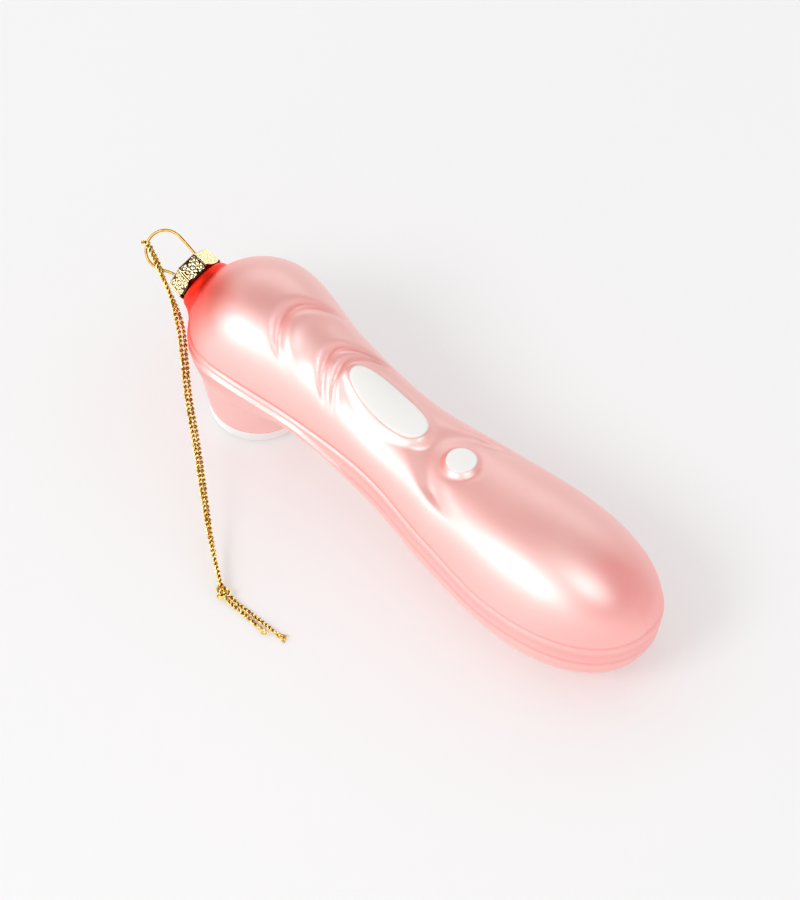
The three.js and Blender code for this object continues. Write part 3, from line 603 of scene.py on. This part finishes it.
cap_columns, cap_rows, wall_share = 38, 78, 0.5
scallop, shoulder, bend_share = 0.75, 0.25, 0.09
slit_width, slit_top, slit_blend = 0.22, 1.25, 0.35
raised_by, sunk_by, border_edge, border_blend = 0.17, 0.05, 0.9, 0.12
sheen_side, most_sheen, sheen_from, sheen_blend = (0.15, 0.45, 0.88), 0.5, 0.7, 0.2
edge_rubbed, edge_blend, bend_rubbed, bend_blend = 0.75, 0.05, 0.7, 0.08
top_rings, ring_width = (3.5, 1.4), 0.16
top_bead, top_bead_radius, side_bead, side_bead_apart, side_bead_radius = 2.45, 0.42, 2.75, 0.95, 0.2
cap = bmesh.new()
patina_and_sheen = cap.verts.layers.float.new("raised_gold_and_painted_sheen")
for petal in range(petals):
    turn = petal_turn + 2 * half_petal * petal
    facing = neck_frame.to_3x3() @ Vector((math.cos(turn), math.sin(turn), 0))
    # Painted sheen: petals facing up and towards the far side are painted brighter gold
    painted_sheen = most_sheen * ease((facing.dot(sheen_side) - sheen_from) / sheen_blend)
    fresh = bmesh.ops.create_grid(cap, x_segments=cap_columns, y_segments=cap_rows, size=1)["verts"]
    for vert in fresh:
        across, up = vert.co.x, (vert.co.y + 1) / 2
        wall = min(up / wall_share, 1.0)
        inward = max((up - wall_share) / (1 - wall_share), 0.0)
        on_wall = inward == 0
        foot = cap_foot + scallop * abs(across) ** 3
        height = foot + (cap_top - shoulder - foot) * wall
        flat = cap_hem_radius + (cap_top_radius - cap_hem_radius) * (height - cap_foot) / cap_height
        flat *= math.cos(half_petal)
        if on_wall:
            raised = embossed(across * flat * math.tan(half_petal), height - cap_foot)
            slit = slit_width * (1 - ease((height - cap_top + slit_top) / slit_blend))
            bend = min(max((height - cap_top + 2 * shoulder) / shoulder, 0), 1)
            flat -= shoulder * (1 - math.sqrt(1 - bend ** 2))
        else:
            flat *= 1 - inward
            height += shoulder * math.sqrt(1 - (1 - min(inward / bend_share, 1)) ** 2)
            height += cap_dome * (1 - (1 - inward) ** 2)
            side = across * flat * math.tan(half_petal)
            rings = [line_height * bell(math.hypot(flat, side) - radius, ring_width) for radius in top_rings]
            raised = max(*rings, bead(math.hypot(flat - top_bead, side), top_bead_radius),
                         bead(math.hypot(flat - side_bead, abs(side) - side_bead_apart), side_bead_radius))
            slit = 0.0
        half = flat * math.tan(half_petal)
        if abs(across) > 0.999:
            side = math.copysign(max(abs(across) * half - slit, 0), across)
        else:
            side = across * (half - slit)
        border = ease((border_edge - abs(across)) / border_blend)
        lift = raised_by * raised * border - sunk_by * border * (wall if on_wall else 1)
        if on_wall:
            rim = edge_rubbed * ease((abs(across) - border_edge) / edge_blend)
            place = Vector((flat + lift, side, height))
        else:
            rim = bend_rubbed * (1 - ease(inward / bend_blend))
            place = Vector((flat, side, height + lift))
        vert[patina_and_sheen] = max(raised * border, painted_sheen, rim)
        vert.co = Matrix.Rotation(turn, 3, "Z") @ place
bmesh.ops.remove_doubles(cap, verts=cap.verts, dist=0.004)
hole_place, hole_radius, under_top = 3.2, 0.55, 0.1
holes = [Vector((0, side * hole_place, 0)) for side in (-1, 1)]
punched = [face for face in cap.faces if face.calc_center_median().z > cap_top - under_top
           and any((face.calc_center_median().xy - hole.xy).length < hole_radius for hole in holes)]
bmesh.ops.delete(cap, geom=punched, context="FACES")
bmesh.ops.recalc_face_normals(cap, faces=cap.faces)
if sum(face.normal.dot(face.calc_center_median() - Vector((0, 0, 20))) for face in cap.faces) < 0:
    bmesh.ops.reverse_faces(cap, faces=cap.faces)
for face in cap.faces:
    face.smooth = True
bmesh.ops.transform(cap, matrix=mm @ neck_frame, verts=cap.verts)
crown = meshed("embossed_crown_cap", cap)
stamped = crown.modifiers.new("sheet", "SOLIDIFY")
stamped.thickness, stamped.offset = sheet_thickness * millimetre, -1
antique = Finish("antique_gold_stamping")
antique.surface(Metallic=1.0)
# Raised and rubbed gold is bright and patina dark, and the painted sheen brightens the petals facing up
gold_rubbed_and_sheen = antique.attribute("raised_gold_and_painted_sheen")
antique.feed(
    Base_Color=antique.ramp(gold_rubbed_and_sheen, (0.16, (0.07, 0.042, 0.012)), (0.5, (0.97, 0.84, 0.54)),
                            (0.85, (1.0, 0.76, 0.38))),
    Roughness=antique.mapped(gold_rubbed_and_sheen, To_Min=0.3, To_Max=0.16))
antique.bumps(antique.grain(2400, 4), 0.25, 0.00006)
crown.data.materials.append(antique.material)
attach(crown, "cap")
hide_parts("crown_cap")

# Wire hanger. One length of springy gold-coloured wire is bent into a round loop, and its two
# straight legs go through the cap's holes into the neck, where they press on the glass.
wire_radius, loop_radius, leg_spacing, leg_length = 0.3, 4.25, 6.4, 12.0
loop_aside, loop_above, loop_start, loop_turn, loop_points, wire_detail = -0.8, 6.15, -30, 203, 8, 0.35
loop_centre = Vector((0, loop_aside, cap_top + loop_above))


def on_loop(angle, radius, out):
    return Vector((out, loop_centre.y - radius * math.cos(angle),
                   loop_centre.z + radius * math.sin(angle)))


legs = [[Vector((0, side * leg_spacing / 2, cap_top + height))
         for height in (-leg_length, -leg_length / 2, 0, cap_dome + 2 * wire_radius)] for side in (-1, 1)]
arc = [on_loop(math.radians(loop_start + loop_turn * i / loop_points), loop_radius, 0)
       for i in range(loop_points + 1)]
bent = bpy.data.curves.new("bent_wire_hanger", "CURVE")
bent.dimensions, bent.bevel_depth, bent.bevel_resolution = "3D", wire_radius * millimetre, 4
bent.use_fill_caps = True
route = through(legs[0] + arc + legs[1][::-1], wire_detail)
line = bent.splines.new("POLY")
line.points.add(len(route) - 1)
for point, spot in zip(line.points, route):
    point.co = (*(mm @ neck_frame @ spot), 1)
line.use_smooth = True
wire = bpy.data.objects.new("bent_wire_hanger", bent)
bpy.context.collection.objects.link(wire)
drawn = Finish("drawn_gold_wire")
drawn.surface(Metallic=1.0, Roughness=0.24)
drawn.mottled(700, (0.3, (0.34, 0.17, 0.025)), (0.7, (0.56, 0.32, 0.06)))
drawn.bumps(drawn.grain(4200), 0.1, 0.00003)
bent.materials.append(drawn.material)
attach(wire, "hanger")
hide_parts("wire_hanger")

# Cord. One length of metallic gold cord, two plies of foil yarn twisted together, is laid over the
# wire loop, and its two ends are tied in one overhand knot. Cut tails fray out on the surface.
cord_width, cord_gap, wrap_angle = 1.0, 0.1, math.radians(66)
cord_reach = wire_radius + cord_gap + cord_width / 2
knot_place, knot_reach = Vector((28.3, -42.3, 1.6)), 1.95


def round_wire(side):
    return [neck_frame @ on_loop(wrap_angle, loop_radius + out, side * away) for out, away in (
        (cord_reach, cord_gap / 2), (cord_reach, 0.45 * cord_reach),
        (0.75 * cord_reach, 0.8 * cord_reach), (0, 1.05 * cord_reach))]


def by_knot(*share):
    return knot_place + knot_reach * Vector(share)


front_strand = round_wire(1) + [
    neck_frame @ Vector((1.2, -3.4, 30.6)), neck_frame @ Vector((1.2, -4.4, 27.9)),
    (-24.3, -5.2, 28.3), (-21.9, -6.1, 26.9), (-18.6, -8.0, 24.7), (-15.8, -9.8, 22.8),
    (-10.9, -13.7, 19.6), (-5.9, -17.9, 16.4), (3.3, -24.6, 11.6), (12.6, -31.7, 7.5),
    (20.3, -37.2, 4.7), by_knot(-0.68, 0.44, 0.56)]
back_strand = round_wire(-1) + [
    neck_frame @ Vector((-1.2, -3.4, 30.6)), neck_frame @ Vector((-1.2, -4.4, 27.9)),
    (-24.9, -4.5, 26.7), (-22.0, -5.6, 25.6), (-18.5, -7.0, 23.8), (-15.5, -8.7, 22.0),
    (-10.7, -12.7, 18.8), (-5.7, -16.9, 15.6), (3.4, -23.6, 10.8), (12.6, -30.8, 6.6),
    (19.9, -36.5, 3.6), by_knot(-0.84, 0.54, -0.04)]
short_tail = [Vector((30.1, -42.7, 1.0)), (34.3, -42.8, 0.6), (36.7, -42.85, 0.6),
              (39.5, -43.05, 0.6), (42.5, -43.3, 0.6)]
long_tail = [Vector((30.1, -41.7, 1.0)), (32.9, -41.8, 0.6), (35.4, -41.7, 0.6), (38.0, -41.7, 0.6),
             (40.9, -41.7, 0.6), (43.3, -41.7, 0.6), (46.3, -41.5, 0.6)]
ply_pitch, yarn_pitch, ply_offset, yarn_offset, yarn_radius = 2.0, 1.1, 0.27, 0.135, 0.14
plies, yarns, yarn_sides, yarn_detail = 2, 3, 6, 0.14
fray_length, least_splay, most_splay, uneven_cut = 3.2, 0.8, 3.6, 1.3
untwisting, loosening, thinning, fray_painted_shine, off_table = 0.25, 1.6, 0.45, 0.5, 0.05
chance = random.Random(7)


def twisted(name, points, frays, phase):
    """Two plies of three yarns wound round a line, the yarns spreading over the frayed end."""
    centre = through(points, yarn_detail)
    travelled = [0.0]
    for start, end in zip(centre, centre[1:]):
        travelled.append(travelled[-1] + (end - start).length)
    total = travelled[-1]
    side = Vector((0, 0, 1)).cross(centre[1] - centre[0]).normalized()
    cord = bmesh.new()
    outward = cord.verts.layers.float.new("turned_outward")
    frames = []
    for i, point in enumerate(centre):
        ahead = (centre[min(i + 1, len(centre) - 1)] - centre[max(i - 1, 0)]).normalized()
        side = (side - ahead * side.dot(ahead)).normalized()
        frames.append((point, side.copy(), ahead.cross(side)))
    for ply in range(plies):
        for yarn in range(yarns):
            splay = chance.uniform(least_splay, most_splay)
            cut = total - (chance.uniform(0, uneven_cut) if frays else 0)
            before = None
            for (point, across, up), along in zip(frames, travelled):
                if along > cut:
                    break
                fray = max(along - total + fray_length, 0) / fray_length if frays else 0
                twist = phase + 2 * math.pi * along / ply_pitch * (1 - untwisting * fray) + math.pi * ply
                lay = -2 * math.pi * along / yarn_pitch + 2 * math.pi * yarn / yarns
                spread = ply_offset * (1 + splay * fray ** 2)
                middle = point + across * (spread * math.cos(twist)) + up * (spread * math.sin(twist))
                loose = yarn_offset * (1 + loosening * fray ** 2)
                middle = middle + across * (loose * math.cos(lay)) + up * (loose * math.sin(lay))
                middle.z = max(middle.z, yarn_radius + off_table)
                thick = yarn_radius * (1 - thinning * fray ** 3)
                ring = []
                for k in range(yarn_sides):
                    turn = 2 * math.pi * k / yarn_sides
                    ring.append(cord.verts.new(middle + across * (thick * math.cos(turn))
                                               + up * (thick * math.sin(turn))))
                # How far each side of a yarn is turned out from the cord's middle: the turned-in sides get
                # painted shade between the yarns, and the frayed ends a painted shine
                for vert in ring:
                    reach = (vert.co - point).length / (ply_offset + yarn_offset + yarn_radius)
                    vert[outward] = reach + fray_painted_shine * fray
                if before:
                    for k in range(yarn_sides):
                        after = (k + 1) % yarn_sides
                        cord.faces.new((before[k], before[after], ring[after], ring[k]))
                else:
                    cord.faces.new(ring[::-1])
                before = ring
            cord.faces.new(before)
    bmesh.ops.recalc_face_normals(cord, faces=cord.faces)
    for face in cord.faces:
        face.smooth = True
    bmesh.ops.transform(cord, matrix=mm, verts=cord.verts)
    piece = meshed(name, cord)
    piece.data.materials.append(foil.material)
    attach(piece, "hanger")
    return piece, [mm @ point for point in centre[::4] + centre[-1:]], total * millimetre


foil = Finish("gold_foil_yarn")
foil.surface(Metallic=1.0, Roughness=0.24)
glint = foil.ramp(foil.grain(1700, 1), (0.42, (0.45, 0.20, 0.01)), (0.5, (1.0, 0.61, 0.08)),
                  (0.58, (1.0, 0.86, 0.38)))
# Painted shade: the sides of the yarns turned in towards the cord's middle are painted dark brown
lit_yarn = foil.mapped(foil.attribute("turned_outward"), From_Min=0.34, From_Max=0.66)
foil.feed(Base_Color=foil.blend(lit_yarn, (0.10, 0.03, 0.002), glint))
foil.bumps(foil.grain(5200, 3), 0.3, 0.00005)

# The knot's turns follow a trefoil, pulled a little tighter on one side and leaning on the table
knot_points, knot_scale, knot_tightening = 72, 0.44, 0.12
knot_height, knot_flattening, knot_lean = 1.15, 0.9, 0.6
knot_turns = []
for i in range(knot_points):
    t = 2 * math.pi * i / knot_points
    bent_in = 1 + knot_tightening * math.sin(t + 1)
    loop = Vector((math.sin(t) + 2 * math.sin(2 * t), math.cos(t) - 2 * math.cos(2 * t),
                   -knot_height * math.sin(3 * t))) * knot_scale * bent_in
    loop.z *= knot_flattening
    knot_turns.append(knot_place + Matrix.Rotation(knot_lean, 3, "X") @ loop)
knot, _, _ = twisted("tied_overhand_knot", knot_turns + knot_turns[:1], False, 0.4)
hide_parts("cord_knot")

front, front_line, front_length = twisted(
    "front_strand_and_tail", front_strand + [knot_place + Vector((0, 0.1, 0.35))] + short_tail, True, 0.0)
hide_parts("cord_front_strand", "cord_short_tail")
back, back_line, back_length = twisted(
    "back_strand_and_tail", back_strand + [knot_place + Vector((0, 0.1, -0.35))] + long_tail, True, 0.0)
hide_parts("cord_back_strand", "cord_long_tail")

# Table. A plain pale sweep of paper in a white room. One large soft box on the near side lights it;
# two small reflectors and a far window are seen only in what shines.
paper_in_shine, table_reach = 3.2, 2.5
paper = Finish("white_paper_sweep")
paper.surface(Roughness=0.8, Emission_Strength=0.27)
paper.mottled(4, (0.3, (0.63, 0.63, 0.63)), (0.7, (0.645, 0.643, 0.645)))
ray = paper.node("ShaderNodeLightPath")
looked_at = paper.node("ShaderNodeMath", operation="MULTIPLY_ADD")
looked_at.inputs[1].default_value = paper_in_shine
paper.link(ray.outputs["Is Glossy Ray"], looked_at.inputs[0])
paper.link(ray.outputs["Is Camera Ray"], looked_at.inputs[2])
paper.feed(Emission_Color=looked_at.outputs["Value"])
table = bmesh.new()
bmesh.ops.create_grid(table, x_segments=1, y_segments=1, size=table_reach)
floor = meshed("table", table)
floor.data.materials.append(paper.material)


def soft_box(name, place, width, height, watts, lights=True, shines=True):
    lamp = bpy.data.lights.new(name, "AREA")
    lamp.shape, lamp.size, lamp.size_y, lamp.energy = "RECTANGLE", width, height, watts
    stand = bpy.data.objects.new(name, lamp)
    stand.location = place
    stand.rotation_euler = (Vector((0, 0, 0.02)) - Vector(place)).to_track_quat("-Z", "Y").to_euler()
    stand.visible_camera, stand.visible_diffuse, stand.visible_glossy = False, lights, shines
    bpy.context.collection.objects.link(stand)


soft_box("key_soft_box", (-0.1, -1.3, 1.25), 0.6, 0.6, 8.5, shines=False)
soft_box("near_reflector", (-0.085, -0.29, 0.34), 0.26, 0.22, 1.15, lights=False)
soft_box("tail_reflector", (0.1, -0.01, 0.28), 0.06, 0.06, 0.22, lights=False)
soft_box("far_window", (-0.45, 0.65, 0.6), 0.75, 0.3, 0.9, lights=False)
world = bpy.data.worlds.new("white_studio")
world.use_nodes = True
room = world.node_tree
even = room.nodes["Background"]
even.inputs["Color"].default_value = (1.0, 0.995, 1.0, 1)
even.inputs["Strength"].default_value = 0.83


def room_node(kind, *feeds, **settings):
    made = room.nodes.new(kind)
    for name, value in settings.items():
        setattr(made, name, value)
    for i, feed in enumerate(feeds):
        if isinstance(feed, bpy.types.NodeSocket):
            room.links.new(feed, made.inputs[i])
        elif feed is not None:
            made.inputs[i].default_value = feed
    return made


# Shiny pieces see what such a room shows them: pale walls and table, brightest on the near side,
# a dim ceiling, and the dim open end of the room beyond the cap
near_wall, far_wall, ceiling = 1.55, 0.95, 0.12
facing = room_node("ShaderNodeTexCoord").outputs["Generated"]
height = room_node("ShaderNodeSeparateXYZ", facing).outputs["Z"]
towards = room_node("ShaderNodeVectorMath", facing, (0.2, -0.98, 0.0), operation="DOT_PRODUCT")
wall = room_node("ShaderNodeMapRange", towards.outputs["Value"], -0.9, 0.9, far_wall, near_wall,
                 interpolation_type="SMOOTHSTEP").outputs["Result"]
lit = room_node("ShaderNodeMapRange", height, 0.5, 0.92, 1.0, 0.0,
                interpolation_type="SMOOTHSTEP").outputs["Result"]
aside = room_node("ShaderNodeVectorMath", facing, (-0.996, -0.087, 0.0), operation="DOT_PRODUCT")
open_side = room_node("ShaderNodeMapRange", aside.outputs["Value"], 0.6, 0.93, 1.0, 0.22,
                      interpolation_type="SMOOTHSTEP").outputs["Result"]
lit = room_node("ShaderNodeMath", lit, open_side, operation="MULTIPLY").outputs["Value"]
above = room_node("ShaderNodeMath", wall, ceiling, operation="SUBTRACT").outputs["Value"]
seen = room_node("ShaderNodeMath", above, lit, ceiling, operation="MULTIPLY_ADD").outputs["Value"]
shown = room_node("ShaderNodeBackground", (1, 1, 1, 1), seen).outputs["Background"]
glossy = room_node("ShaderNodeLightPath").outputs["Is Glossy Ray"]
both = room_node("ShaderNodeMixShader", glossy, even.outputs["Background"], shown)
room.links.new(both.outputs["Shader"], room.nodes["World Output"].inputs["Surface"])
bpy.context.scene.world = world
bpy.context.scene.view_settings.view_transform = "Standard"

# Camera. It looks down from the near side, past the tail, as the photograph does
azimuth, elevation = math.radians(42.98), math.radians(52.62)
aimed_at, aim_right, aim_up, camera_distance, focal_length = (45, 0, 20), -3.70, 3.22, 0.9, 192.8
forward = Vector((-math.sin(azimuth) * math.cos(elevation), math.cos(azimuth) * math.cos(elevation),
                  -math.sin(elevation)))
rightward = Vector((math.cos(azimuth), math.sin(azimuth), 0))
upward = rightward.cross(forward)
aim = mm @ (Vector(aimed_at) + aim_right * rightward + aim_up * upward)
lens = bpy.data.cameras.new("camera")
lens.lens, lens.sensor_width, lens.sensor_fit = focal_length, 36, "HORIZONTAL"
lens.clip_start, lens.clip_end = 0.05, 20
camera = bpy.data.objects.new("camera", lens)
camera.matrix_world = (Matrix.Translation(aim - camera_distance * forward)
                       @ Matrix((rightward, upward, -forward)).transposed().to_4x4())
bpy.context.collection.objects.link(camera)
bpy.context.scene.camera = camera
